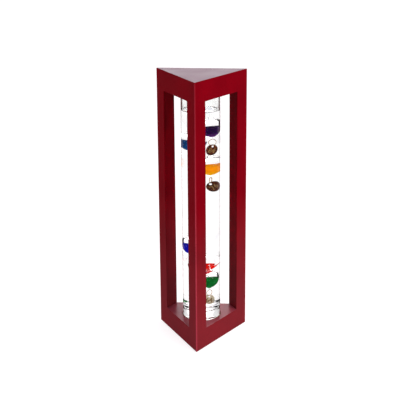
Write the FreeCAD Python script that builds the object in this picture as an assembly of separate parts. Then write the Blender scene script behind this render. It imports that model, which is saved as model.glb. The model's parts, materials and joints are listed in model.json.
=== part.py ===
import FreeCAD, Part
import math
import os

# Galileo thermometer: a sealed glass tube of clear liquid with six coloured floats, standing in a
# three-sided lacquered wooden frame. Millimetres, +Z up. The origin is the point of the resting
# plane under the centre of the frame. One corner post faces -Y.

V = FreeCAD.Vector
UP = V(0, 0, 1)

# ---- frame
side = 105.0                    # outer side of the triangular frame
post_width = 20.7               # side of a post's triangular section
felt_thick = 1.0                # anti-scratch felt under the base
felt_inset = 5.0                # felt edge to block edge
block_height = 23.5             # base block and top block alike
frame_top = 315.0               # top face above the resting plane
corner_round = 0.6              # outer vertical edges
rim_round = 0.5                 # edges of the two outer end faces
window_round = 0.4              # post edges at the windows

# ---- dowels that join posts to blocks
dowel_r = 2.5
dowel_length = 20.0
dowel_clear = 0.05
dowel_end_gap = 0.5
dowel_chamfer = 0.5

# ---- tube seat in the base, tube socket in the top
tube_aside = 1.0                # the tube's axis stands this far towards +X
seat_r = 23.0
seat_depth = 1.5
seat_pad_thick = 0.8
socket_r = 24.0
socket_depth = 19.6
cushion_height = 6.0
cushion_below_rim = 3.0         # lower edge of the cushion above the block's underside

# ---- glass tube and its solid foot
tube_r = 22.5
tube_wall = 1.6
foot_r = 22.2
foot_height = 11.8
foot_edge = 1.2
tube_floor = 2.8                # glass thickness at the bottom
tube_heel_r = 1.5               # outer bottom corner
tube_bowl_r = 7.0               # inner bottom corner
tube_shoulder_z = 297.0
tube_shoulder_r = 9.0
tip_r = 2.2
tip_height = 3.0
liquid_level = 272.8
liquid_clear = 0.1

# ---- floats: a blown bulb with a drawn stem above and a melted loop below
bulb_r = 11.0
bulb_wall = 0.8
point_height = 13.0             # apex of the lower cone below the bulb's centre
point_r = 2.0                   # rounding of that apex
stem_r = 2.0
stem_tip_r = 1.6
stem_fillet = 2.0
stem_top = 17.5                 # tip of the stem above the bulb's centre
dye_clear = 0.05
loop_r = 1.5
loop_wire = 0.45
loop_drop = 13.6                # loop centre below the bulb's centre
ring_r = 3.6
ring_wire = 0.3
ring_gap = 0.25                 # ring wire to loop
tag_r = 6.4
tag_thick = 0.7
tag_rim = 0.7                   # width of the raised rim
tag_rim_thick = 1.0
tag_hole_r = 1.3
tag_hole_out = 4.2              # hole centre above the tag's centre
tag_gap = 0.05                  # ring wire to the hole's edge
pocket = 0.3                    # liquid held this far off the floats

# name: bulb centre from the tube's axis, dye level above the centre, lean in degrees, ring
# direction and tag direction in degrees about +Z, and how far the tag sits askew on its ring
floats = {
    "purple": dict(at=(9.2, -1.2, 254.2), dye=0.0, lean=-4.0, ring=0.0, tag=-40.0, askew=-15.0),
    "teal": dict(at=(-6.9, 5.6, 236.4), dye=0.0, lean=-3.0, ring=50.0, tag=10.0, askew=0.0),
    "orange": dict(at=(6.0, 7.2, 208.0), dye=0.0, lean=0.0, ring=90.0, tag=75.0, askew=-45.0),
    "blue": dict(at=(-8.6, -4.0, 113.6), dye=0.0, lean=-9.0, ring=10.0, tag=42.0, askew=0.0),
    "red": dict(at=(0.4, 7.2, 89.7), dye=-3.8, lean=0.0, ring=20.0, tag=-20.0, askew=0.0),
    "green": dict(at=(7.6, -5.6, 72.7), dye=0.1, lean=0.0, ring=60.0, tag=75.0, askew=0.0),
}

base_top = felt_thick + block_height
top_under = frame_top - block_height
corner_out = side / math.sqrt(3)            # frame corner to axis
post_out = corner_out - post_width / math.sqrt(3)   # post centre to axis
corner_angles = {"front": -90.0, "right": 30.0, "left": 150.0}
foot_z = base_top - seat_depth + seat_pad_thick
tube_z = foot_z + foot_height
bore_r = tube_r - tube_wall
bore_floor = tube_z + tube_floor
TUBE = V(tube_aside, 0, 0)


def ring_point(radius, angle, z=0.0):
    a = math.radians(angle)
    return V(radius * math.cos(a), radius * math.sin(a), z)


def triangle(radius, centre, z, height):
    # upright prism on a triangle with its corners at this radius from its centre
    points = [centre + ring_point(radius, a, z) for a in (-90.0, 30.0, 150.0)]
    face = Part.Face(Part.makePolygon(points + [points[0]]))
    return face.extrude(V(0, 0, height))


def upright_edges(shape, nearest, farthest):
    # vertical edges between two distances from the axis
    found = []
    for edge in shape.Edges:
        ends = [v.Point for v in edge.Vertexes]
        if len(ends) == 2 and abs(ends[0].x - ends[1].x) < 1e-6 and abs(ends[0].y - ends[1].y) < 1e-6:
            if nearest < math.hypot(ends[0].x, ends[0].y) < farthest:
                found.append(edge)
    return found


def edges_at(shape, z, far_from):
    # edges lying in one level plane whose middle is outside a radius
    found = []
    for edge in shape.Edges:
        if all(abs(v.Point.z - z) < 1e-6 for v in edge.Vertexes):
            middle = edge.valueAt((edge.FirstParameter + edge.LastParameter) / 2)
            if abs(middle.z - z) < 1e-6 and math.hypot(middle.x, middle.y) > far_from:
                found.append(edge)
    return found


def dowel_hole(angle, z, up):
    # blind hole from a joint face into a post or a block
    depth = dowel_length / 2 + dowel_end_gap
    start = z if up else z - depth
    return Part.makeCylinder(dowel_r + dowel_clear, depth, ring_point(post_out, angle, start))


def base_block():
    block = triangle(corner_out, V(0, 0, 0), felt_thick, block_height)
    block = block.makeFillet(corner_round, upright_edges(block, 50, corner_out + 1))
    block = block.makeFillet(rim_round, edges_at(block, felt_thick, 25))
    seat = Part.makeCylinder(seat_r, seat_depth + 1, V(tube_aside, 0, base_top - seat_depth))
    holes = [dowel_hole(a, base_top, False) for a in corner_angles.values()]
    return block.cut([seat] + holes)


def top_block():
    block = triangle(corner_out, V(0, 0, 0), top_under, block_height)
    block = block.makeFillet(corner_round, upright_edges(block, 50, corner_out + 1))
    block = block.makeFillet(rim_round, edges_at(block, frame_top, 25))
    socket = Part.makeCylinder(socket_r, socket_depth + 1, V(tube_aside, 0, top_under - 1))
    holes = [dowel_hole(a, top_under, True) for a in corner_angles.values()]
    return block.cut([socket] + holes)


def corner_post(angle):
    # three-sided post with its outer corner on the frame's corner
    centre = ring_point(post_out, angle)
    post = triangle(post_width / math.sqrt(3), centre, base_top, top_under - base_top)
    post = post.makeFillet(corner_round, upright_edges(post, corner_out - 1, corner_out + 1))
    post = post.makeFillet(window_round, upright_edges(post, 0, corner_out - 8))
    return post.cut([dowel_hole(angle, base_top, True), dowel_hole(angle, top_under, False)])


def post_dowels():
    pins = []
    for angle in corner_angles.values():
        for z in (base_top, top_under):
            low_end = ring_point(post_out, angle, z - dowel_length / 2)
            pin = Part.makeCylinder(dowel_r, dowel_length, low_end)
            pins.append(pin.makeChamfer(dowel_chamfer, [e for e in pin.Edges if e.Closed]))
    return Part.makeCompound(pins)


def base_felt():
    return triangle(corner_out - 2 * felt_inset, V(0, 0, 0), 0, felt_thick)


def tube_seat_pad():
    return Part.makeCylinder(seat_r - 0.3, seat_pad_thick, V(tube_aside, 0, base_top - seat_depth))


def top_cushion():
    z = top_under + cushion_below_rim
    outer = Part.makeCylinder(socket_r, cushion_height, V(tube_aside, 0, z))
    inner = Part.makeCylinder(tube_r, cushion_height, V(tube_aside, 0, z))
    return outer.cut(inner)


def lathe(edges):
    # solid of revolution about the axis from a closed outline in the XZ plane
    face = Part.Face(Part.Wire(edges))
    return face.revolve(V(0, 0, 0), UP, 360)


def line(a, b):
    return Part.makeLine(V(a[0], 0, a[1]), V(b[0], 0, b[1]))


def arc(a, m, b):
    return Part.Arc(V(a[0], 0, a[1]), V(m[0], 0, m[1]), V(b[0], 0, b[1])).toShape()


def around(centre, radius, angle):
    # point of a circle in the XZ plane, angle from +X towards +Z
    a = math.radians(angle)
    return (centre[0] + radius * math.cos(a), centre[1] + radius * math.sin(a))


def tube_body():
    heel = (tube_r - tube_heel_r, tube_z + tube_heel_r)
    shoulder = (tube_r - tube_shoulder_r, tube_shoulder_z)
    crown = tube_shoulder_z + tube_shoulder_r
    tip = (0.0, crown + tip_height - tip_r)
    return lathe([
        line((0, tube_z), (heel[0], tube_z)),
        arc((heel[0], tube_z), around(heel, tube_heel_r, -45), (tube_r, heel[1])),
        line((tube_r, heel[1]), (tube_r, tube_shoulder_z)),
        arc((tube_r, tube_shoulder_z), around(shoulder, tube_shoulder_r, 45), (shoulder[0], crown)),
        line((shoulder[0], crown), (tip_r, crown)),
        line((tip_r, crown), (tip_r, tip[1])),
        arc((tip_r, tip[1]), around(tip, tip_r, 45), (0, tip[1] + tip_r)),
        line((0, tip[1] + tip_r), (0, tube_z)),
    ])


def tube_hollow(clear, top):
    # inside of the tube, held back from the glass, up to a level or to the crown
    r = bore_r - clear
    floor = bore_floor + clear
    bowl_r = tube_bowl_r - clear
    bowl = (r - bowl_r, floor + bowl_r)
    edges = [
        line((0, floor), (bowl[0], floor)),
        arc((bowl[0], floor), around(bowl, bowl_r, -45), (r, bowl[1])),
    ]
    if top is None:
        arc_r = tube_shoulder_r - tube_wall
        shoulder = (r - arc_r, tube_shoulder_z)
        crown = tube_shoulder_z + arc_r
        edges += [
            line((r, bowl[1]), (r, tube_shoulder_z)),
            arc((r, tube_shoulder_z), around(shoulder, arc_r, 45), (shoulder[0], crown)),
            line((shoulder[0], crown), (0, crown)),
            line((0, crown), (0, floor)),
        ]
    else:
        edges += [line((r, bowl[1]), (r, top)), line((r, top), (0, top)), line((0, top), (0, floor))]
    return lathe(edges)


def glass_tube():
    return tube_body().cut(tube_hollow(0.0, None)).translated(TUBE)


def glass_foot():
    disc = Part.makeCylinder(foot_r, foot_height, V(tube_aside, 0, foot_z))
    return disc.makeFillet(foot_edge, [e for e in disc.Edges if e.Closed])


def bulb(inset):
    # float body about its own centre: ball, cone to a rounded point below, drawn stem above;
    # an inset moves the whole outline inwards
    r = bulb_r - inset
    lean = math.degrees(math.acos(bulb_r / point_height))
    apex_z = -(point_height - point_r / math.sin(math.radians(90 - lean)))
    low = (0.0, apex_z)
    low_r = point_r - inset
    neck_r = stem_fillet + inset
    neck = (stem_r + stem_fillet, math.sqrt((bulb_r + stem_fillet) ** 2 - (stem_r + stem_fillet) ** 2))
    neck_angle = math.degrees(math.atan2(neck[1], neck[0]))
    cone = lean - 90
    tip_z = stem_top - stem_tip_r
    tip = stem_tip_r - inset
    low_end = around(low, low_r, cone)
    ball_start = around((0, 0), r, cone)
    ball_end = around((0, 0), r, neck_angle)
    stem_base = (neck[0] - neck_r, neck[1])
    top = tip_z + tip
    return lathe([
        arc((0, apex_z - low_r), around(low, low_r, (cone - 90) / 2), low_end),
        line(low_end, ball_start),
        arc(ball_start, (r, 0), ball_end),
        arc(ball_end, around(neck, neck_r, 180 + neck_angle / 2), stem_base),
        line(stem_base, (tip, tip_z)),
        arc((tip, tip_z), around((0, tip_z), tip, 45), (0, top)),
        line((0, top), (0, apex_z - low_r)),
    ])


def centre_of(name):
    return V(*floats[name]["at"]) + TUBE


def placed(shape, name):
    # moves a shape from a float's own centre to its place, leaning in the XZ plane
    turn = FreeCAD.Rotation(V(0, 1, 0), floats[name]["lean"])
    shape.Placement = FreeCAD.Placement(centre_of(name), turn)
    return shape


def loop_centre(name):
    turn = FreeCAD.Rotation(V(0, 1, 0), floats[name]["lean"])
    return centre_of(name) + turn.multVec(V(0, 0, -loop_drop))


def hang_point(name):
    # middle of the ring's wire where it passes through the loop
    return loop_centre(name) + V(0, 0, -(loop_r - loop_wire) + ring_wire + ring_gap)


def float_glass(name):
    f = floats[name]
    axis = FreeCAD.Rotation(V(0, 1, 0), -f["lean"]).multVec(ring_point(1.0, f["ring"]))
    loop = Part.makeTorus(loop_r, loop_wire, V(0, 0, -loop_drop), axis)
    shell = bulb(0.0).fuse(loop).cut(bulb(bulb_wall))
    return placed(shell, name)


def float_dye(name):
    f = floats[name]
    body = placed(bulb(bulb_wall + dye_clear), name)
    corner = centre_of(name) + V(-30, -30, f["dye"] - 40)
    return body.common(Part.makeBox(60, 60, 40, corner))


def float_ring(name):
    normal = ring_point(1.0, floats[name]["ring"] + 90)
    centre = hang_point(name) + V(0, 0, -ring_r)
    return Part.makeTorus(ring_r, ring_wire, centre, normal)


def hole_centre(name):
    return hang_point(name) + V(0, 0, -(2 * ring_r - ring_wire - tag_gap + tag_hole_r))


def askew(shape, name):
    # turns a tag in its own plane about its hole
    shape.rotate(hole_centre(name), ring_point(1.0, floats[name]["tag"]), floats[name]["askew"])
    return shape


def float_tag(name):
    face = ring_point(1.0, floats[name]["tag"])
    middle = hole_centre(name) + V(0, 0, -tag_hole_out)
    plate = Part.makeCylinder(tag_r, tag_thick, middle - face * (tag_thick / 2), face)
    rim_back = middle - face * (tag_rim_thick / 2)
    rim = Part.makeCylinder(tag_r, tag_rim_thick, rim_back, face)
    rim = rim.cut(Part.makeCylinder(tag_r - tag_rim, tag_rim_thick, rim_back, face))
    hole_at = hole_centre(name) - face * tag_rim_thick
    hole = Part.makeCylinder(tag_hole_r, 2 * tag_rim_thick, hole_at, face)
    return askew(plate.fuse(rim).removeSplitter().cut(hole), name)


def float_pocket(name):
    # room in the liquid for one float with its loop, ring and tag
    ring_face = ring_point(1.0, floats[name]["ring"] + 90)
    tag_face = ring_point(1.0, floats[name]["tag"])
    half_ring = ring_wire + pocket
    half_tag = tag_rim_thick / 2 + pocket
    ring_back = hang_point(name) + V(0, 0, -ring_r) - ring_face * half_ring
    tag_back = hole_centre(name) + V(0, 0, -tag_hole_out) - tag_face * half_tag
    ring_room = Part.makeCylinder(ring_r + ring_wire + pocket, 2 * half_ring, ring_back, ring_face)
    tag_room = Part.makeCylinder(tag_r + pocket, 2 * half_tag, tag_back, tag_face)
    loop_room = Part.makeSphere(loop_r + loop_wire + pocket, loop_centre(name))
    return [placed(bulb(-pocket), name), loop_room, ring_room, askew(tag_room, name)]


def filling_liquid():
    liquid = tube_hollow(liquid_clear, liquid_level).translated(TUBE)
    for name in floats:
        for room in float_pocket(name):
            liquid = liquid.cut(room)
    return liquid


parts = {
    "base_felt": base_felt(),
    "base_block": base_block(),
    "top_block": top_block(),
    "post_dowels": post_dowels(),
    "tube_seat_pad": tube_seat_pad(),
    "top_cushion": top_cushion(),
    "glass_foot": glass_foot(),
    "glass_tube": glass_tube(),
    "filling_liquid": filling_liquid(),
}
for corner, angle in corner_angles.items():
    parts["post_" + corner] = corner_post(angle)
for name in floats:
    parts[name + "_float"] = float_glass(name)
    parts[name + "_dye"] = float_dye(name)
    parts[name + "_ring"] = float_ring(name)
    parts[name + "_tag"] = float_tag(name)

os.makedirs("parts", exist_ok=True)
for node, shape in parts.items():
    shape.exportStep("parts/" + node + ".step")
    print(node, len(shape.Solids), shape.isValid(), round(shape.Volume, 1))
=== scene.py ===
import bpy
import json
import math
from mathutils import Matrix, Vector


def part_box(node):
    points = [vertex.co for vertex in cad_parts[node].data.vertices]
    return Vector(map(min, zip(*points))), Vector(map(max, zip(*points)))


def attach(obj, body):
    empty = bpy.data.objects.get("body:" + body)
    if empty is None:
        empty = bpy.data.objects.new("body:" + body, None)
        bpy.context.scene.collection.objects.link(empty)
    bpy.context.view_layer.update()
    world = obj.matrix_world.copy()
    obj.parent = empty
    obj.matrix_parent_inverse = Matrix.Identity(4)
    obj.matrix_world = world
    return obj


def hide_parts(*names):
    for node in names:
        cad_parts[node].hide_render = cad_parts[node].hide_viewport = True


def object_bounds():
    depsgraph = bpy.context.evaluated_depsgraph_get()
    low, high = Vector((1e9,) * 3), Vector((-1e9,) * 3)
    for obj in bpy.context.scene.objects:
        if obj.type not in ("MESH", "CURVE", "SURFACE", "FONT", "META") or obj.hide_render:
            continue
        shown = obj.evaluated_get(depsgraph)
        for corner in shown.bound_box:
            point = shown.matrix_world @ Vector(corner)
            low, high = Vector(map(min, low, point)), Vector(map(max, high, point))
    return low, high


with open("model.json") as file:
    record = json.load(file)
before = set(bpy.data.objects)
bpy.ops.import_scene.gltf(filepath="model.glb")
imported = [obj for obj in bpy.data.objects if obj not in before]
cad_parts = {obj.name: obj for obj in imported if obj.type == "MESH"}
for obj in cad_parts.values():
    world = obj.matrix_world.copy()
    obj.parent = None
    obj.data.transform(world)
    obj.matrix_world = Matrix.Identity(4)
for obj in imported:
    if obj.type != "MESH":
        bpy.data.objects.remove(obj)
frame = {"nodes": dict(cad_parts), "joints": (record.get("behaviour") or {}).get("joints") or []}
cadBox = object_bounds()

mm = 0.001
up = Vector((0, 0, 1))
joints = {j["name"]: j for j in frame["joints"]}
colours = ("purple", "teal", "orange", "blue", "red", "green")


# small tools used by every piece

def linear(code, alpha=1.0):
    # sRGB hex to the linear colour that shaders take
    parts = [int(code[i:i + 2], 16) / 255 for i in (0, 2, 4)]
    return tuple(c / 12.92 if c <= 0.04045 else ((c + 0.055) / 1.055) ** 2.4 for c in parts) + (alpha,)


def addNode(tree, kind, sockets=None, stops=None, **settings):
    # one node with its settings, its colour stops and its links
    made = tree.nodes.new(kind)
    for name, value in settings.items():
        setattr(made, name, value)
    for name, value in (sockets or {}).items():
        if isinstance(value, bpy.types.NodeSocket):
            tree.links.new(value, made.inputs[name])
        else:
            made.inputs[name].default_value = value
    if stops:
        ramp = made.color_ramp
        while len(ramp.elements) < len(stops):
            ramp.elements.new(0.5)
        for element, (place, colour) in zip(ramp.elements, stops):
            element.position = place
            element.color = colour
    return made


def newMaterial(name):
    material = bpy.data.materials.new(name)
    material.use_nodes = True
    material.node_tree.nodes.clear()
    return material, material.node_tree


def onlySelect(obj):
    if bpy.context.object and bpy.context.object.mode != "OBJECT":
        bpy.ops.object.mode_set(mode="OBJECT")
    bpy.ops.object.select_all(action="DESELECT")
    obj.select_set(True)
    bpy.context.view_layer.objects.active = obj


def editAll(obj):
    onlySelect(obj)
    bpy.ops.object.mode_set(mode="EDIT")
    bpy.ops.mesh.select_all(action="SELECT")


def leaveEdit():
    bpy.ops.object.mode_set(mode="OBJECT")


def applyModifier(obj, kind, **settings):
    onlySelect(obj)
    modifier = obj.modifiers.new(kind.lower(), kind)
    for name, value in settings.items():
        setattr(modifier, name, value)
    bpy.ops.object.modifier_apply(modifier=modifier.name)


def smoothed(obj, angle=40):
    onlySelect(obj)
    bpy.ops.object.shade_smooth_by_angle(angle=math.radians(angle))
    return obj


def arcPoints(centre, radius, start, end, steps):
    # points of an arc in the radius and height plane, angles in degrees from outwards towards up
    found = []
    for i in range(steps + 1):
        a = math.radians(start + (end - start) * i / steps)
        found.append((centre[0] + radius * math.cos(a), centre[1] + radius * math.sin(a)))
    return found


def turned(name, outline, steps, aside=0.0):
    # an outline of (radius, height) points, drawn out point by point and spun about an upright axis
    bpy.ops.object.select_all(action="DESELECT")
    bpy.ops.mesh.primitive_plane_add(size=mm)
    piece = bpy.context.object
    piece.name = name
    piece.data.name = name
    editAll(piece)
    bpy.ops.mesh.merge(type="CENTER")
    bpy.ops.transform.translate(value=(outline[0][0], 0, outline[0][1]))
    for (r0, z0), (r1, z1) in zip(outline, outline[1:]):
        bpy.ops.mesh.extrude_vertices_move(TRANSFORM_OT_translate={"value": (r1 - r0, 0, z1 - z0)})
    bpy.ops.mesh.select_all(action="SELECT")
    bpy.ops.mesh.spin(steps=steps, angle=2 * math.pi, center=(0, 0, 0), axis=(0, 0, 1))
    bpy.ops.mesh.select_all(action="SELECT")
    bpy.ops.mesh.remove_doubles(threshold=2e-6)
    bpy.ops.mesh.normals_make_consistent(inside=False)
    bpy.ops.transform.translate(value=(aside, 0, 0))
    leaveEdit()
    return piece


def copied(master, name, place):
    # a copy with its own mesh, and its place in that mesh
    piece = bpy.data.objects.new(name, master.data.copy())
    piece.data.name = name
    bpy.context.scene.collection.objects.link(piece)
    piece.data.transform(place)
    return piece


def paint(obj, *materials):
    obj.data.materials.clear()
    for material in materials:
        obj.data.materials.append(material)


def nodeBox(node):
    low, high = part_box(node)
    return low, high, (low + high) / 2


# camera, floor and light
view = {
    "turn": 4.52,            # degrees round from the front corner post
    "height": 17.6,          # degrees above the horizon
    "roll": -0.224,
    "distance": 1.2128,
    "lens": 90.23,
    "aside": 0.0091,         # the frame's centre stands this far left of the middle
    "drop": 0.00116,         # and this far above it
}

bpy.context.scene.view_settings.view_transform = "Standard"
cameraData = bpy.data.cameras.new("camera")
cameraData.lens = view["lens"]
cameraData.sensor_width = 36
cameraData.clip_start = 0.05
camera = bpy.data.objects.new("camera", cameraData)
bpy.context.scene.collection.objects.link(camera)
turn, tilt, roll = (math.radians(view[k]) for k in ("turn", "height", "roll"))
right = Vector((math.cos(turn), math.sin(turn), 0))
back = Vector((math.sin(turn) * math.cos(tilt), -math.cos(turn) * math.cos(tilt), math.sin(tilt)))
above = back.cross(right)
rolledRight = right * math.cos(roll) + above * math.sin(roll)
rolledUp = back.cross(rolledRight)
aim = Vector((0, 0, (cadBox[0].z + cadBox[1].z) / 2 - view["drop"])) + right * view["aside"]
camera.matrix_world = Matrix.Translation(aim + back * view["distance"]) @ Matrix(
    (rolledRight, rolledUp, back)).transposed().to_4x4()
bpy.context.scene.camera = camera

studio = {
    "sky": "fffafc",          # soft light from above
    "below": "fbf6f8",        # what polished faces mirror of the floor
    "horizon": (-0.14, -0.04),     # height of a direction, where below turns to sky
    "skyFrontBack": (0.35, 0.9),   # strength in front of the object and behind it
    "belowFrontBack": (0.1, 1.1),
    "glowBehind": 2.6,        # a bright band low behind the object, for the sheen of the top
    "floorSize": 60.0,
    "paperGrain": 166.7 * mm,
    "paperGlow": 0.8,
}

world = bpy.data.worlds.new("studio")
bpy.context.scene.world = world
world.use_nodes = True
tree = world.node_tree
tree.nodes.clear()
direction = addNode(tree, "ShaderNodeTexCoord")
split = addNode(tree, "ShaderNodeSeparateXYZ", {0: direction.outputs["Generated"]})
height = addNode(tree, "ShaderNodeMapRange", {"Value": split.outputs["Z"], 1: studio["horizon"][0],
                                              2: studio["horizon"][1], 3: 0.0, 4: 1.0})
depth = addNode(tree, "ShaderNodeMapRange", {"Value": split.outputs["Y"], 1: -0.5, 2: 0.4,
                                             3: studio["skyFrontBack"][0], 4: studio["skyFrontBack"][1]})
behind = addNode(tree, "ShaderNodeMapRange", {"Value": split.outputs["Y"], 1: 0.75, 2: 0.9, 3: 0.0,
                                              4: studio["glowBehind"]})
lowBehind = addNode(tree, "ShaderNodeMapRange", {"Value": split.outputs["Z"], 1: 0.55, 2: 0.35,
                                                 3: 0.0, 4: 1.0})
glow = addNode(tree, "ShaderNodeMath", {0: behind.outputs[0], 1: lowBehind.outputs[0]}, operation="MULTIPLY")
soft = addNode(tree, "ShaderNodeMath", {0: depth.outputs[0], 1: glow.outputs[0]}, operation="ADD")
bright = addNode(tree, "ShaderNodeMath", {0: height.outputs[0], 1: soft.outputs[0]}, operation="MULTIPLY")
sky = addNode(tree, "ShaderNodeBackground", {"Color": linear(studio["sky"]), "Strength": bright.outputs[0]})
under = addNode(tree, "ShaderNodeMapRange", {"Value": split.outputs["Y"], 1: 0.45, 2: 0.8,
                                             3: studio["belowFrontBack"][0], 4: studio["belowFrontBack"][1]})
ground = addNode(tree, "ShaderNodeBackground", {"Color": linear(studio["below"]),
                                                "Strength": under.outputs[0]})
both = addNode(tree, "ShaderNodeMixShader", {0: height.outputs[0], 1: ground.outputs[0], 2: sky.outputs[0]})
addNode(tree, "ShaderNodeOutputWorld", {"Surface": both.outputs[0]})

bpy.ops.object.select_all(action="DESELECT")
bpy.ops.mesh.primitive_plane_add(size=studio["floorSize"], location=(0, 0, cadBox[0].z))
floor = bpy.context.object
floor.name = "floor"
paper, tree = newMaterial("whitePaperSweep")
grain = addNode(tree, "ShaderNodeTexNoise", {"Scale": 1 / studio["paperGrain"], "Detail": 2.0})
shade = addNode(tree, "ShaderNodeValToRGB", {"Fac": grain.outputs["Fac"]},
                stops=[(0.3, linear("a9a7a8")), (0.7, linear("adabac"))])
matt = addNode(tree, "ShaderNodeBsdfDiffuse", {"Color": shade.outputs["Color"]})
lit = addNode(tree, "ShaderNodeEmission", {"Color": linear("fffdfe"), "Strength": studio["paperGlow"]})
sweep = addNode(tree, "ShaderNodeAddShader", {0: matt.outputs[0], 1: lit.outputs[0]})   # lit from below too
addNode(tree, "ShaderNodeOutputMaterial", {"Surface": sweep.outputs[0]})
paint(floor, paper)
floor.visible_glossy = False         # polished faces mirror the two-toned backdrop instead

lamps = {
    "keyRight": dict(at=(0.95, -0.75, 0.75), size=0.9, watts=15.5, colour="fffaf6"),
    "fillLeft": dict(at=(-1.1, -0.7, 0.6), size=0.9, watts=2.5, colour="f6f4ff"),
}
lampAim = Vector((0, 0, 160 * mm))
for name, lamp in lamps.items():
    data = bpy.data.lights.new(name, "AREA")
    data.size = lamp["size"]
    data.energy = lamp["watts"]
    data.color = linear(lamp["colour"])[:3]
    light = bpy.data.objects.new(name, data)
    bpy.context.scene.collection.objects.link(light)
    light.location = lamp["at"]
    light.rotation_euler = (Vector(lamp["at"]) - lampAim).to_track_quat("Z", "Y").to_euler()
print("stage: camera, floor and light")


# lacquered frame
lacquer = {
    "deep": "70000d",        # deep crimson, sprayed over fine-grained wood
    "dark": "64000b",
    "floorReflectionColour": "a07078",       # painted reflection of the white floor, paler towards the foot
    "topSheenDeep": "6a4258",     # painted sheen: mauve on the top face, for the bright backdrop it mirrors
    "topSheenDark": "603a50",
    "baseSheenDeep": "96323f",    # and a redder painted sheen inside, on the base
    "baseSheenDark": "822838",
    "rubbedAndHighlit": "a83a4a",      # worn corners where the coat is thin, lighter also by a painted highlight
    "roughness": 0.34,
    "grainWidth": 1.6 * mm,
    "grainLength": 18,       # times the width
    "cloudSize": 45.45 * mm,     # faint unevenness of the spray
    "peelSize": 0.9 * mm,
    "floorReflectionTop": 170 * mm,     # the painted floor reflection grows from this height down to the next
    "floorReflectionFull": 30 * mm,
    "floorReflectionShare": 0.08,
    "edge": 1.0 * mm,        # width of a worn corner, and how strong its wear and painted highlight are
    "rubbingAndHighlight": 0.8,
}


def lacquerMaterial(name, grainAlong, sheen, dark, deep):
    # satin nitrocellulose lacquer on close-grained wood: deep red, low sheen, faint grain and orange peel,
    # with a painted floor reflection towards the foot and painted highlights on the corners
    material, tree = newMaterial(name)
    place = addNode(tree, "ShaderNodeTexCoord").outputs["Object"]
    stretch = [1 / lacquer["grainWidth"]] * 3
    stretch[grainAlong] /= lacquer["grainLength"]
    along = addNode(tree, "ShaderNodeMapping", {"Vector": place, "Scale": stretch})
    grain = addNode(tree, "ShaderNodeTexNoise", {"Vector": along.outputs[0], "Scale": 0.6, "Detail": 3.0})
    cloud = addNode(tree, "ShaderNodeTexNoise", {"Vector": place, "Scale": 1 / lacquer["cloudSize"],
                                                 "Detail": 2.0})
    mixed = addNode(tree, "ShaderNodeMix", {0: 0.35, 2: cloud.outputs["Fac"], 3: grain.outputs["Fac"]})
    red = addNode(tree, "ShaderNodeValToRGB", {"Fac": mixed.outputs[0]},
                  stops=[(0.36, linear(dark)), (0.62, linear(deep))])
    tall = addNode(tree, "ShaderNodeSeparateXYZ", {0: place}).outputs["Z"]
    # painted reflection of the white floor, growing towards the foot
    floorReflectionMask = addNode(tree, "ShaderNodeMapRange", {"Value": tall, 1: lacquer["floorReflectionTop"],
                                                  2: lacquer["floorReflectionFull"], 3: 0.0, 4: lacquer["floorReflectionShare"]})
    red = addNode(tree, "ShaderNodeMix", {
        0: floorReflectionMask.outputs[0], 6: red.outputs["Color"], 7: linear(lacquer["floorReflectionColour"])}, data_type="RGBA")
    # how near a point is to one of the three upright corners
    reach = None
    for turn in (-90, 30, 150):
        outward = (math.cos(math.radians(turn)), math.sin(math.radians(turn)), 0)
        dot = addNode(tree, "ShaderNodeVectorMath", {0: place, 1: outward}, operation="DOT_PRODUCT")
        reach = dot.outputs["Value"] if reach is None else addNode(
            tree, "ShaderNodeMath", {0: reach, 1: dot.outputs["Value"]}, operation="MAXIMUM").outputs[0]
    cornerOut = -cadBox[0].y
    # wear and a painted highlight along the upright corners
    edge = addNode(tree, "ShaderNodeMapRange",
                   {"Value": reach, 1: cornerOut - lacquer["edge"], 2: cornerOut - 0.2 * lacquer["edge"],
                    3: 0.0, 4: lacquer["rubbingAndHighlight"]})
    # the wear and painted highlight grow towards the foot and vary with the spray's unevenness
    low = addNode(tree, "ShaderNodeMapRange", {"Value": tall, 1: cadBox[1].z, 2: cadBox[0].z, 3: 0.3, 4: 1.0})
    patchy = addNode(tree, "ShaderNodeMapRange", {"Value": cloud.outputs["Fac"], 1: 0.3, 2: 0.7,
                                                  3: 0.7, 4: 1.2})
    lowAndPatchy = addNode(tree, "ShaderNodeMath", {0: low.outputs[0], 1: patchy.outputs[0]}, operation="MULTIPLY")
    edge = addNode(tree, "ShaderNodeMath", {0: edge.outputs[0], 1: lowAndPatchy.outputs[0]}, operation="MULTIPLY")
    wornAndHighlit = addNode(tree, "ShaderNodeMix", {
        0: edge.outputs[0], 6: red.outputs[2], 7: linear(lacquer["rubbedAndHighlit"])}, data_type="RGBA")
    peel = addNode(tree, "ShaderNodeTexNoise", {"Vector": place, "Scale": 1 / lacquer["peelSize"],
                                                "Detail": 1.0})
    gloss = addNode(tree, "ShaderNodeMapRange", {
        "Value": cloud.outputs["Fac"], 1: 0.3, 2: 0.7,
        3: lacquer["roughness"] - 0.04, 4: lacquer["roughness"] + 0.05})
    pores = addNode(tree, "ShaderNodeBump", {"Height": grain.outputs["Fac"], "Strength": 0.10,
                                             "Distance": 0.05 * mm})
    skin = addNode(tree, "ShaderNodeBump", {"Height": peel.outputs["Fac"], "Strength": 0.12,
                                            "Distance": 0.04 * mm, "Normal": pores.outputs[0]})
    coat = addNode(tree, "ShaderNodeBsdfPrincipled", {
        "Base Color": wornAndHighlit.outputs[2], "Roughness": gloss.outputs[0], "Normal": skin.outputs[0],
        "IOR": 1.45, "Specular IOR Level": sheen})
    addNode(tree, "ShaderNodeOutputMaterial", {"Surface": coat.outputs[0]})
    return material


postLacquer = lacquerMaterial("satinRedLacquerUpright", 2, 0.005, lacquer["dark"], lacquer["deep"])
blockLacquer = lacquerMaterial("satinRedLacquerBlock", 0, 0.005, lacquer["dark"], lacquer["deep"])
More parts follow.
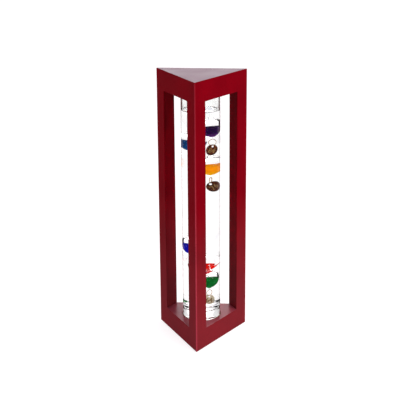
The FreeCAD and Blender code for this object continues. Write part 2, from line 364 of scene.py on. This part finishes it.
# level faces get a painted sheen in their colour, and mirror more at a low angle
topLacquer = lacquerMaterial("satinRedLacquerTop", 0, 0.03, lacquer["topSheenDark"], lacquer["topSheenDeep"])
baseLacquer = lacquerMaterial("satinRedLacquerBaseTop", 0, 0.12, lacquer["baseSheenDark"], lacquer["baseSheenDeep"])
for node in ("post_front", "post_right", "post_left"):
    paint(frame["nodes"][node], postLacquer)
for node, levelLacquer in (("base_block", baseLacquer), ("top_block", topLacquer)):
    block = frame["nodes"][node]
    paint(block, blockLacquer, levelLacquer)
    for face in block.data.polygons:
        face.material_index = 1 if face.normal.z > 0.9 else 0
print("stage: lacquered frame")


# hidden dowels, felt, cork and foam

def plainMaterial(name, light, dark, roughness, size, stretch=(1, 1, 1), sheen=0.0):
    # a dull, speckled surface: fibres of felt and beech, grains of cork, cells of foam
    material, tree = newMaterial(name)
    place = addNode(tree, "ShaderNodeTexCoord").outputs["Object"]
    scaled = addNode(tree, "ShaderNodeMapping", {"Vector": place, "Scale": [s / size for s in stretch]})
    speckle = addNode(tree, "ShaderNodeTexNoise", {"Vector": scaled.outputs[0], "Scale": 1.0, "Detail": 4.0})
    tone = addNode(tree, "ShaderNodeValToRGB", {"Fac": speckle.outputs["Fac"]},
                   stops=[(0.35, linear(dark)), (0.65, linear(light))])
    raised = addNode(tree, "ShaderNodeBump", {"Height": speckle.outputs["Fac"], "Strength": 0.4,
                                              "Distance": 0.2 * mm})
    body = addNode(tree, "ShaderNodeBsdfPrincipled", {
        "Base Color": tone.outputs["Color"], "Roughness": roughness, "Normal": raised.outputs[0],
        "Sheen Weight": sheen})
    addNode(tree, "ShaderNodeOutputMaterial", {"Surface": body.outputs[0]})
    return material


woolFelt = plainMaterial("blackWoolFelt", "1c1a1b", "0e0d0d", 0.95, 0.5 * mm, sheen=0.6)
beech = plainMaterial("beechDowel", "c79a66", "a87a48", 0.6, 0.8 * mm, (1, 1, 0.06))
cork = plainMaterial("granulatedCork", "b98858", "7a5130", 0.85, 1.2 * mm)
foam = plainMaterial("greyFoam", "8d8a8b", "6b6869", 0.9, 0.6 * mm)
paint(frame["nodes"]["base_felt"], woolFelt)
paint(frame["nodes"]["post_dowels"], beech)
paint(frame["nodes"]["tube_seat_pad"], cork)
paint(frame["nodes"]["top_cushion"], foam)
print("stage: felt, dowels, cork and foam")


# glass tube, oil and foot

rippleDepth = 0.1 * mm


def glassMaterial(name, ior, tint, ripple, rippleSize):
    # clear glass: sharp refraction with a very slight unevenness from drawing or blowing
    material, tree = newMaterial(name)
    place = addNode(tree, "ShaderNodeTexCoord").outputs["Object"]
    wave = addNode(tree, "ShaderNodeTexNoise", {"Vector": place, "Scale": 1 / rippleSize, "Detail": 0.0})
    uneven = addNode(tree, "ShaderNodeBump", {"Height": wave.outputs["Fac"], "Strength": ripple,
                                              "Distance": rippleDepth})
    glass = addNode(tree, "ShaderNodeBsdfPrincipled", {
        "Base Color": linear(tint), "Roughness": 0.0, "IOR": ior,
        "Transmission Weight": 1.0, "Normal": uneven.outputs[0]})
    addNode(tree, "ShaderNodeOutputMaterial", {"Surface": glass.outputs[0]})
    return material


glassIndex = 1.5
liquidIndex = 1.43            # a light oil
softIndex = 1.2               # under the real step to air, so that a thin bulb's rim stays clear
dryGlass = glassMaterial("drawnTubeGlass", glassIndex, "fbfdfc", 0.15, 14 * mm)
wetGlass = glassMaterial("drawnTubeGlassWet", glassIndex / liquidIndex, "ffffff", 0.1, 14 * mm)
footGlass = glassMaterial("pressedFootGlass", glassIndex, "f6fbf9", 0.3, 6 * mm)
blownWet = glassMaterial("blownGlassWet", glassIndex / liquidIndex, "ffffff", 0.5, 5 * mm)
blownDry = glassMaterial("blownGlassInside", softIndex, "ffffff", 0.3, 5 * mm)

# liquid against the glass has nothing to bend or mirror; only its free surface does
oilSide, tree = newMaterial("oilAgainstGlass")
clear = addNode(tree, "ShaderNodeBsdfTransparent", {"Color": (1, 1, 1, 1)})
addNode(tree, "ShaderNodeOutputMaterial", {"Surface": clear.outputs[0]})
oilTop = glassMaterial("oilSurface", liquidIndex, "ffffff", 0.1, 12 * mm)

tubeLow, tubeHigh, tubeMid = nodeBox("glass_tube")
tube = {
    "radius": (tubeHigh.x - tubeLow.x) / 2,
    "wall": 1.6 * mm,
    "floor": 2.8 * mm,
    "heel": 1.5 * mm,
    "bowl": 7.0 * mm,
    "shoulder": 9.0 * mm,
    "tipRadius": 2.2 * mm,
    "tipHeight": 3.0 * mm,
    "tipNeck": 1.0 * mm,      # hollow where the tip was drawn off, and how high it lies on the crown
    "tipNeckRise": 0.9 * mm,
    "segments": 96,
}
oil = {
    "top": nodeBox("filling_liquid")[1].z,
    "climb": 1.2 * mm,        # its edge climbs the glass by this much
    "edgeReach": 3.2 * mm,    # and this far in from the glass
    "gap": 0.06 * mm,
}
oilEdge = oil["top"] + oil["climb"]


def tubeOutside():
    crown = tubeHigh.z - tube["tipHeight"]
    heelAt = (tube["radius"] - tube["heel"], tubeLow.z + tube["heel"])
    shoulderAt = (tube["radius"] - tube["shoulder"], crown - tube["shoulder"])
    points = [(0, tubeLow.z), (heelAt[0] / 2, tubeLow.z)]
    points += arcPoints(heelAt, tube["heel"], -90, 0, 8)
    points += [(tube["radius"], tubeLow.z + (shoulderAt[1] - tubeLow.z) * k) for k in (0.25, 0.5, 0.75)]
    points += arcPoints(shoulderAt, tube["shoulder"], 0, 84, 10)
    neck = (tube["tipRadius"] + tube["tipNeck"], crown + tube["tipNeckRise"])
    points += arcPoints(neck, tube["tipNeck"], 262, 180, 4)
    points += arcPoints((0, tubeHigh.z - tube["tipRadius"]), tube["tipRadius"], 10, 90, 7)
    points[-1] = (0, tubeHigh.z)
    return points


def tubeInside(clearance=0.0, top=None):
    inner = tube["radius"] - tube["wall"] - clearance
    low = tubeLow.z + tube["floor"] + clearance
    bowl = tube["bowl"] - clearance
    points = [(0, low), ((inner - bowl) / 2, low)] + arcPoints((inner - bowl, low + bowl), bowl, -90, 0, 12)
    if top is not None:
        return points + [(inner, top)]
    crown = tubeHigh.z - tube["tipHeight"] - tube["wall"]
    arc = tube["shoulder"] - tube["wall"]
    points += [(inner, low + (oilEdge - low) * k) for k in (0.25, 0.5, 0.75, 1.0)]
    points += arcPoints((inner - arc, crown - arc), arc, 0, 90, 10) + [(0, crown)]
    return points


tubePiece = turned("glass_tube_blown", tubeOutside(), tube["segments"], tubeMid.x)
inside = turned("tube_inside", tubeInside(), tube["segments"], tubeMid.x)
editAll(inside)
bpy.ops.mesh.flip_normals()
leaveEdit()
paint(tubePiece, dryGlass, wetGlass)
paint(inside, dryGlass, wetGlass)
for face in inside.data.polygons:
    face.material_index = 1 if face.center.z < oilEdge else 0
onlySelect(tubePiece)
inside.select_set(True)
bpy.ops.object.join()
smoothed(tubePiece, 50)
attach(tubePiece, "frame")
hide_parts("glass_tube")
print("stage: glass tube")

# the liquid: flat, with its edge drawn up the glass
inner = tube["radius"] - tube["wall"] - oil["gap"]
outline = tubeInside(oil["gap"], oilEdge)
outline += [(inner - oil["edgeReach"] * (1 - math.cos(t)), oil["top"] + oil["climb"] * (1 - math.sin(t)))
            for t in (math.radians(15 * i) for i in range(1, 7))]
outline += [(inner * 0.6, oil["top"]), (0, oil["top"])]
liquid = turned("clear_oil", outline, tube["segments"], tubeMid.x)
paint(liquid, oilSide, oilTop)
for face in liquid.data.polygons:
    face.material_index = 1 if face.normal.z > 0.05 and face.center.z > oil["top"] - mm else 0
smoothed(liquid, 60)
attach(liquid, "frame")
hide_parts("filling_liquid")
print("stage: filling liquid")

# the foot: a pressed glass disc with soft edges and a shallow hollow underneath
footLow, footHigh, footMid = nodeBox("glass_foot")
foot = {"radius": (footHigh.x - footLow.x) / 2, "edge": 1.4 * mm, "hollow": 0.8 * mm, "gap": 0.05 * mm}
footTop = footHigh.z - foot["gap"]
outline = [(0, footLow.z + foot["hollow"]), (foot["radius"] * 0.45, footLow.z + foot["hollow"] * 0.8),
           (foot["radius"] * 0.75, footLow.z + foot["hollow"] * 0.25), (foot["radius"] * 0.85, footLow.z)]
outline += arcPoints((foot["radius"] - foot["edge"], footLow.z + foot["edge"]), foot["edge"], -90, 0, 6)
outline += arcPoints((foot["radius"] - foot["edge"], footTop - foot["edge"]), foot["edge"], 0, 90, 6)
outline += [(foot["radius"] / 2, footTop), (0, footTop)]
footPiece = turned("glass_foot_pressed", outline, tube["segments"], footMid.x)
paint(footPiece, footGlass)
smoothed(footPiece, 50)
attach(footPiece, "frame")
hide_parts("glass_foot")
print("stage: glass foot")


# blown floats and the dyed oil in them
bulb = {
    "radius": 11.0 * mm,
    "wall": 0.8 * mm,
    "point": 13.0 * mm,       # apex of the lower cone below the middle
    "pointRound": 2.0 * mm,
    "stem": 2.0 * mm,
    "stemTip": 1.6 * mm,
    "neck": 2.0 * mm,
    "stemTop": 17.5 * mm,
    "loop": 1.5 * mm,
    "loopWire": 0.45 * mm,
    "loopDrop": 13.6 * mm,
    "hangDrop": 0.5 * mm,     # hang point below the loop's middle
    "soak": 0.04 * mm,        # the dye reaches this far into the glass, so that no gap shows
    "segments": 64,
}


def bulbOutline(inset=0.0):
    # from the lowest point up: rounded point, cone, ball, neck and drawn stem
    cone = math.degrees(math.acos(bulb["radius"] / bulb["point"])) - 90
    apex = -(bulb["point"] - bulb["pointRound"] / math.sin(math.radians(-cone)))
    neckAt = (bulb["stem"] + bulb["neck"],
              math.sqrt((bulb["radius"] + bulb["neck"]) ** 2 - (bulb["stem"] + bulb["neck"]) ** 2))
    neckTurn = math.degrees(math.atan2(neckAt[1], neckAt[0]))
    tipAt = bulb["stemTop"] - bulb["stemTip"]
    points = arcPoints((0, apex), bulb["pointRound"] - inset, -90, cone, 6)
    points += arcPoints((0, 0), bulb["radius"] - inset, cone, neckTurn, 26)
    points += arcPoints(neckAt, bulb["neck"] + inset, 180 + neckTurn, 180, 5)[1:]
    points += arcPoints((0, tipAt), bulb["stemTip"] - inset, 0, 90, 6)
    points[0] = (0, points[0][1])
    points[-1] = (0, points[-1][1])
    return points


masterFloat = turned("masterFloat", bulbOutline(), bulb["segments"])
paint(masterFloat, blownWet, blownDry)
applyModifier(masterFloat, "SOLIDIFY", thickness=bulb["wall"], offset=-1, material_offset=1,
              use_even_offset=True)
bpy.ops.object.select_all(action="DESELECT")
bpy.ops.mesh.primitive_torus_add(
    major_radius=bulb["loop"], minor_radius=bulb["loopWire"], major_segments=32, minor_segments=14,
    location=(0, 0, -bulb["loopDrop"]), rotation=(0, math.pi / 2, 0))
loop = bpy.context.object
bpy.ops.object.transform_apply(location=True, rotation=True, scale=True)
paint(loop, blownWet, blownDry)
applyModifier(masterFloat, "BOOLEAN", object=loop, operation="UNION", solver="EXACT")
bpy.data.objects.remove(loop)
smoothed(masterFloat, 60)

masterDye = turned("masterDye", bulbOutline(bulb["wall"] - bulb["soak"]), bulb["segments"])

floats = {
    # lean of the whole float, turn of the tag about the upright axis and how far it sits askew, in degrees
    "purple": dict(lean=-4, tag=-40, askew=-15, number="84", top="20003a", low="7d3c96"),
    "teal": dict(lean=-3, tag=10, askew=0, number="80", top="003a72", low="0a68a8"),
    "orange": dict(lean=0, tag=75, askew=-45, number="76", top="ff9600", low="ffc810"),
    "blue": dict(lean=-9, tag=42, askew=0, number="72", top="0000a8", low="2040d8"),
    "red": dict(lean=0, tag=-20, askew=0, number="68", top="f41000", low="ff2a08"),
    "green": dict(lean=0, tag=75, askew=0, number="64", top="006a24", low="0c8a3c"),
}
pool = {
    "edge": ((0.35 * mm, 0.35 * mm), (0.5 * mm, 0.15 * mm)),   # width and drop of each step in from the glass
    "swirl": 5.556 * mm,
    "drift": 1.0 * mm,
    "glow": 0.35,             # light that comes through the dye
}


def dyeMaterial(name, top, low, middle, level):
    # dyed oil: deep where it is thick and brighter towards the thin bottom; the gloss is its bulb's
    material, tree = newMaterial(name)
    place = addNode(tree, "ShaderNodeTexCoord").outputs["Object"]
    height = addNode(tree, "ShaderNodeSeparateXYZ", {0: place}).outputs["Z"]
    swirl = addNode(tree, "ShaderNodeTexNoise", {"Vector": place, "Scale": 1 / pool["swirl"], "Detail": 2.0})
    drift = addNode(tree, "ShaderNodeMath", {
        0: swirl.outputs["Fac"], 1: 2 * pool["drift"], 2: -pool["drift"]}, operation="MULTIPLY_ADD")
    shifted = addNode(tree, "ShaderNodeMath", {0: height, 1: drift.outputs[0]}, operation="ADD")
    share = addNode(tree, "ShaderNodeMapRange", {"Value": shifted.outputs[0],
                                                 1: middle.z - bulb["point"], 2: level, 3: 0.0, 4: 1.0})
    tone = addNode(tree, "ShaderNodeValToRGB", {"Fac": share.outputs[0]},
                   stops=[(0.0, linear(low)), (0.55, linear(top)), (1.0, linear(top))])
    dye = addNode(tree, "ShaderNodeBsdfPrincipled", {
        "Base Color": tone.outputs["Color"], "Roughness": 0.1, "IOR": 1.36, "Specular IOR Level": 0.0,
        "Emission Color": tone.outputs["Color"], "Emission Strength": pool["glow"]})
    addNode(tree, "ShaderNodeOutputMaterial", {"Surface": dye.outputs[0]})
    return material


for name in colours:
    look = floats[name]
    swing = joints[name + "_tag_swing"]
    hangPoint = Vector(swing["pos_m"])
    ringTurn = math.atan2(swing["axis"][1], swing["axis"][0])
    lean = Matrix.Rotation(math.radians(look["lean"]), 4, "Y")
    middle = hangPoint + up * bulb["hangDrop"] + lean @ Vector((0, 0, bulb["loopDrop"]))
    place = Matrix.Translation(middle) @ lean @ Matrix.Rotation(ringTurn, 4, "Z")
    piece = copied(masterFloat, name + "_float_blown", place)
    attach(piece, name + "_float")
    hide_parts(name + "_float")

    level = nodeBox(name + "_dye")[1].z
    dye = copied(masterDye, name + "_dye_pool", place)
    editAll(dye)
    bpy.ops.mesh.bisect(plane_co=(0, 0, level), plane_no=(0, 0, 1), use_fill=True, clear_outer=True)
    bpy.ops.mesh.select_all(action="DESELECT")
    leaveEdit()
    for face in dye.data.polygons:
        face.select = face.normal.z > 0.99 and abs(face.center.z - level) < 0.01 * mm
    bpy.ops.object.mode_set(mode="EDIT")
    for width, drop in pool["edge"]:         # the pool's edge climbs its glass
        bpy.ops.mesh.inset(thickness=width, depth=0)
        bpy.ops.transform.translate(value=(0, 0, -drop))
    leaveEdit()
    paint(dye, dyeMaterial(name + "Dye", look["top"], look["low"], middle, level))
    smoothed(dye, 60)
    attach(dye, name + "_float")
    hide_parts(name + "_dye")
print("stage: floats and their dyes")


# rings and stamped tags
ring = {"radius": 3.6 * mm, "wire": 0.3 * mm, "open": 7}      # open: degrees left at the cut
tag = {
    "radius": 6.4 * mm,
    "thick": 0.7 * mm,
    "rimThick": 1.0 * mm,
    "rim": 0.7 * mm,
    "hole": 1.3 * mm,
    "holeOut": 4.2 * mm,
    "holeDrop": 8.15 * mm,    # hang point to the middle of the tag's hole
    "digitHeight": 5.2 * mm,
    "digitRaise": 0.16 * mm,
    "digitDrop": 0.9 * mm,    # the number sits a little below the middle
    "capShare": 0.69,         # height of a digit as a share of its type size
}


def metalMaterial(name, light, dark, roughness, speck, metallic=1.0):
    # brass: a warm metal, unevenly toned by age, with a slightly rough skin
    material, tree = newMaterial(name)
    place = addNode(tree, "ShaderNodeTexCoord").outputs["Object"]
    patina = addNode(tree, "ShaderNodeTexNoise", {"Vector": place, "Scale": 1 / speck, "Detail": 4.0})
    tone = addNode(tree, "ShaderNodeValToRGB", {"Fac": patina.outputs["Fac"]},
                   stops=[(0.38, linear(dark)), (0.62, linear(light))])
    rough = addNode(tree, "ShaderNodeMapRange", {"Value": patina.outputs["Fac"], 1: 0.3, 2: 0.7,
                                                 3: roughness + 0.1, 4: roughness - 0.05})
    raised = addNode(tree, "ShaderNodeBump", {"Height": patina.outputs["Fac"], "Strength": 0.3,
                                              "Distance": 0.05 * mm})
    metal = addNode(tree, "ShaderNodeBsdfPrincipled", {
        "Base Color": tone.outputs["Color"], "Metallic": metallic, "Roughness": rough.outputs[0],
        "Normal": raised.outputs[0]})
    addNode(tree, "ShaderNodeOutputMaterial", {"Surface": metal.outputs[0]})
    return material


brassWire = metalMaterial("drawnBrassWire", "d9b27a", "b3854a", 0.25, 1.0 * mm)
brassTag = metalMaterial("agedBrassTag", "5a2c18", "35140c", 0.4, 1.5 * mm)
# brass under a worn cream coat
paleBrassTag = metalMaterial("paleBrassTag", "fff4dc", "f4e2b8", 0.45, 1.5 * mm, 0.1)
brassBright = metalMaterial("polishedBrass", "a88858", "6c4c30", 0.35, 0.7 * mm)

# a cut ring, spun from its wire's round section in the plane of X and Z
bpy.ops.object.select_all(action="DESELECT")
bpy.ops.mesh.primitive_circle_add(vertices=12, radius=ring["wire"], fill_type="NGON",
                                  location=(ring["radius"], 0, 0))
masterRing = bpy.context.object
bpy.ops.object.transform_apply(location=True, rotation=True, scale=True)
editAll(masterRing)
bpy.ops.mesh.spin(steps=60, angle=math.radians(360 - ring["open"]), center=(0, 0, 0), axis=(0, 1, 0))
bpy.ops.mesh.select_all(action="SELECT")
bpy.ops.mesh.remove_doubles(threshold=2e-6)
bpy.ops.mesh.normals_make_consistent(inside=False)
leaveEdit()
smoothed(masterRing, 50)
paint(masterRing, brassWire)


def blankTag():
    # a stamped disc facing +X, its raised rim on both faces and a round hole near the top
    bpy.ops.object.select_all(action="DESELECT")
    bpy.ops.mesh.primitive_cylinder_add(vertices=72, radius=tag["radius"], depth=tag["rimThick"],
                                        rotation=(0, math.pi / 2, 0))
    disc = bpy.context.object
    bpy.ops.object.transform_apply(location=True, rotation=True, scale=True)
    for side in (1, -1):
        onlySelect(disc)
        for face in disc.data.polygons:
            face.select = face.normal.x * side > 0.99
        bpy.ops.object.mode_set(mode="EDIT")
        bpy.ops.mesh.select_mode(type="FACE")
        bpy.ops.mesh.inset(thickness=tag["rim"] * 0.75, depth=0)
        bpy.ops.mesh.inset(thickness=tag["rim"] * 0.25, depth=-(tag["rimThick"] - tag["thick"]) / 2)
        bpy.ops.mesh.select_all(action="DESELECT")
        leaveEdit()
    applyModifier(disc, "BEVEL", width=0.12 * mm, segments=2, limit_method="ANGLE",
                  angle_limit=math.radians(50))
    bpy.ops.object.select_all(action="DESELECT")
    bpy.ops.mesh.primitive_cylinder_add(vertices=40, radius=tag["hole"], depth=4 * tag["rimThick"],
                                        location=(0, 0, tag["holeOut"]), rotation=(0, math.pi / 2, 0))
    drill = bpy.context.object
    applyModifier(disc, "BOOLEAN", object=drill, operation="DIFFERENCE", solver="EXACT")
    bpy.data.objects.remove(drill)
    return disc


def numbered(blank, number):
    # raised digits on both faces of a copy of the blank
    piece = copied(blank, "tagNumbered", Matrix.Identity(4))
    for side in (1, -1):
        bpy.ops.object.select_all(action="DESELECT")
        bpy.ops.object.text_add()
        words = bpy.context.object
        words.data.body = number
        words.data.align_x = "CENTER"
        words.data.align_y = "CENTER"
        words.data.size = tag["digitHeight"] / tag["capShare"]
        words.data.extrude = tag["digitRaise"]
        words.data.bevel_depth = 0.04 * mm
        words.data.resolution_u = 3
        bpy.ops.object.convert(target="MESH")
        words = bpy.context.object
        turn = Matrix.Rotation(math.radians(90), 4, "Z") @ Matrix.Rotation(math.radians(90), 4, "X")
        if side < 0:
            turn = Matrix.Rotation(math.pi, 4, "Z") @ turn
        face = side * (tag["thick"] / 2 + 0.02 * mm)
        words.data.transform(Matrix.Translation((face, 0, -tag["digitDrop"])) @ turn)
        paint(words, brassBright)
        applyModifier(piece, "BOOLEAN", object=words, operation="UNION", solver="EXACT", use_self=True,
                      material_mode="TRANSFER")
        bpy.data.objects.remove(words)
    return piece


blank = blankTag()
paint(blank, brassTag, brassBright)
for name in colours:
    look = floats[name]
    swing = joints[name + "_tag_swing"]
    hangPoint = Vector(swing["pos_m"])
    ringTurn = math.atan2(swing["axis"][1], swing["axis"][0])
    piece = copied(masterRing, name + "_ring_wire",
                   Matrix.Translation(hangPoint - up * ring["radius"]) @ Matrix.Rotation(ringTurn, 4, "Z"))
    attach(piece, name + "_tag")
    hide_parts(name + "_ring")
    piece = numbered(blank, look["number"])
    piece.name = name + "_tag_stamped"
    if name == "green":
        piece.data.materials[0] = paleBrassTag
    piece.data.name = piece.name
    tagTurn = Matrix.Rotation(math.radians(look["tag"]), 4, "Z")
    askew = Matrix.Rotation(math.radians(look["askew"]), 4, "X")
    piece.data.transform(Matrix.Translation(hangPoint - up * tag["holeDrop"]) @ tagTurn @ askew
                         @ Matrix.Translation(-up * tag["holeOut"]))
    smoothed(piece, 30)
    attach(piece, name + "_tag")
    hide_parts(name + "_tag")
for master in (masterFloat, masterDye, masterRing, blank):
    bpy.data.objects.remove(master)
print("stage: rings and tags")

# enough bounces to pass the tube, the oil and two floats
bounces = 24
bpy.context.scene.cycles.max_bounces = bounces
bpy.context.scene.cycles.transmission_bounces = bounces
bpy.context.scene.cycles.transparent_max_bounces = bounces

bpy.ops.object.select_all(action="DESELECT")
